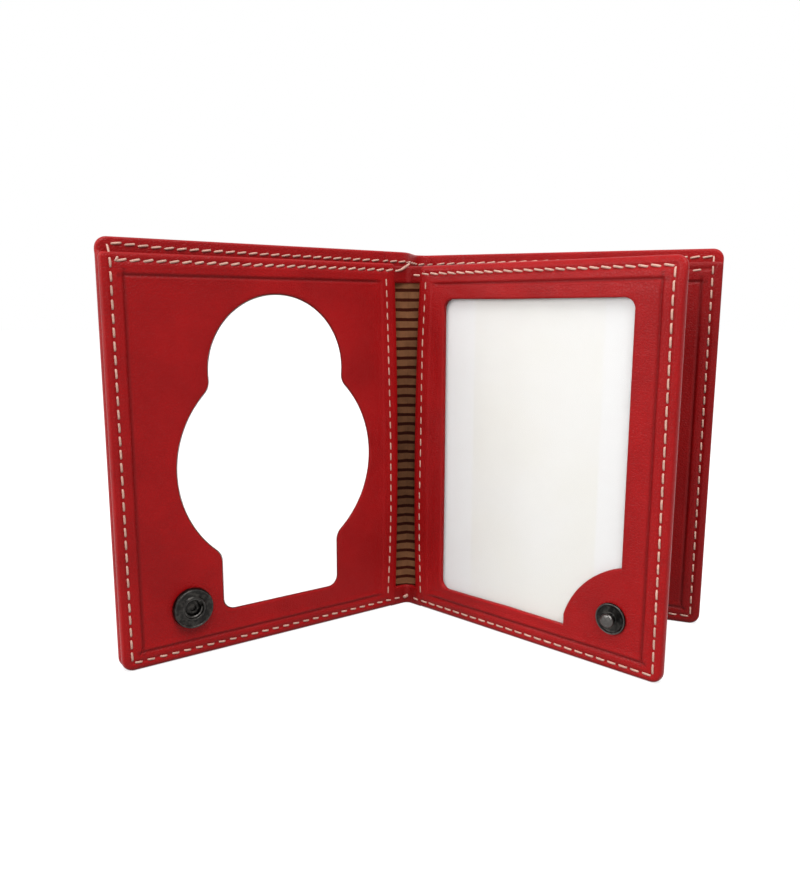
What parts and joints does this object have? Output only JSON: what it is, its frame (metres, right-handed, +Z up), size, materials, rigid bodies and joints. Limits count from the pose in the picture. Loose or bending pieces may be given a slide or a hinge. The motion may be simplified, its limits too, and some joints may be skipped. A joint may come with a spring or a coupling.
{
  "type": "id badge wallet",
  "caption": "Red leather badge wallet standing open: badge leaf with recessed plate, swinging card flap with clear window and press snap, and a pocketed rear cover on a leather spine",
  "frame": {"origin": "middle of the standing wallet's footprint, on the surface it stands on", "axes": "+Z up, +X along the open wallet from the badge leaf to the card flap, -Y towards the viewer who faces the open leaves"},
  "size_m": [0.1512, 0.0733, 0.1],
  "materials": {
    "leather_red": "smooth dyed leather, fine grain, satin",
    "lining_cloth": "plain tan lining cloth",
    "striped_lining": "tan lining cloth with narrow dark brown stripes",
    "stiff_board": "grey-brown stiffening board",
    "white_enamel": "plain white enamel",
    "snap_metal": "antique gunmetal plating",
    "spring_steel": "bare spring wire",
    "clear_film": "clear flexible film",
    "card_stock": "blank laminated card"
  },
  "bodies": {
    "badge_leaf": {"cover_left": "leather_red", "cover_left_lining": "lining_cloth", "badge_panel": "leather_red", "badge_backing": "stiff_board", "badge_lining": "lining_cloth", "badge_blank": "white_enamel", "snap_socket": "snap_metal", "snap_spring": "spring_steel", "socket_rivet": "snap_metal", "top_bridge": "leather_red", "bottom_bridge": "leather_red", "fold_lining": "striped_lining"},
    "id_flap": {"flap_front": "leather_red", "window_film": "clear_film", "flap_back": "leather_red", "snap_stud": "snap_metal", "stud_rivet": "snap_metal"},
    "id_card": {"id_card": "card_stock"},
    "spine": {"cover_spine": "leather_red", "spine_lining": "lining_cloth"},
    "cover_leaf": {"cover_right": "leather_red", "cover_right_lining": "lining_cloth", "pocket_panel": "leather_red", "pocket_lining": "lining_cloth"}
  },
  "joints": [
    {"name": "flap_fold", "type": "hinge", "parent": "badge_leaf", "child": "id_flap", "pos_m": [-0.00447, 0.01598, 0.048], "axis": [0, 0, 1], "range_deg": [-101.8, 20], "deforming": ["top_bridge", "bottom_bridge", "fold_lining"]},
    {"name": "spine_fold", "type": "hinge", "parent": "badge_leaf", "child": "spine", "pos_m": [-0.00473, 0.02225, 0.05], "axis": [0, 0, 1], "range_deg": [-122.3, 24.1]},
    {"name": "cover_fold", "type": "hinge", "parent": "spine", "child": "cover_leaf", "pos_m": [-0.00098, 0.03615, 0.05], "axis": [0, 0, 1], "range_deg": [0, 95]},
    {"name": "card_slide", "type": "slide", "parent": "id_flap", "child": "id_card", "axis": [0, 0, 1], "range_m": [0, 0.092]}
  ],
  "couplings": [
    {"joint": "spine_fold", "follows": "flap_fold", "ratio": 1.2}
  ]
}
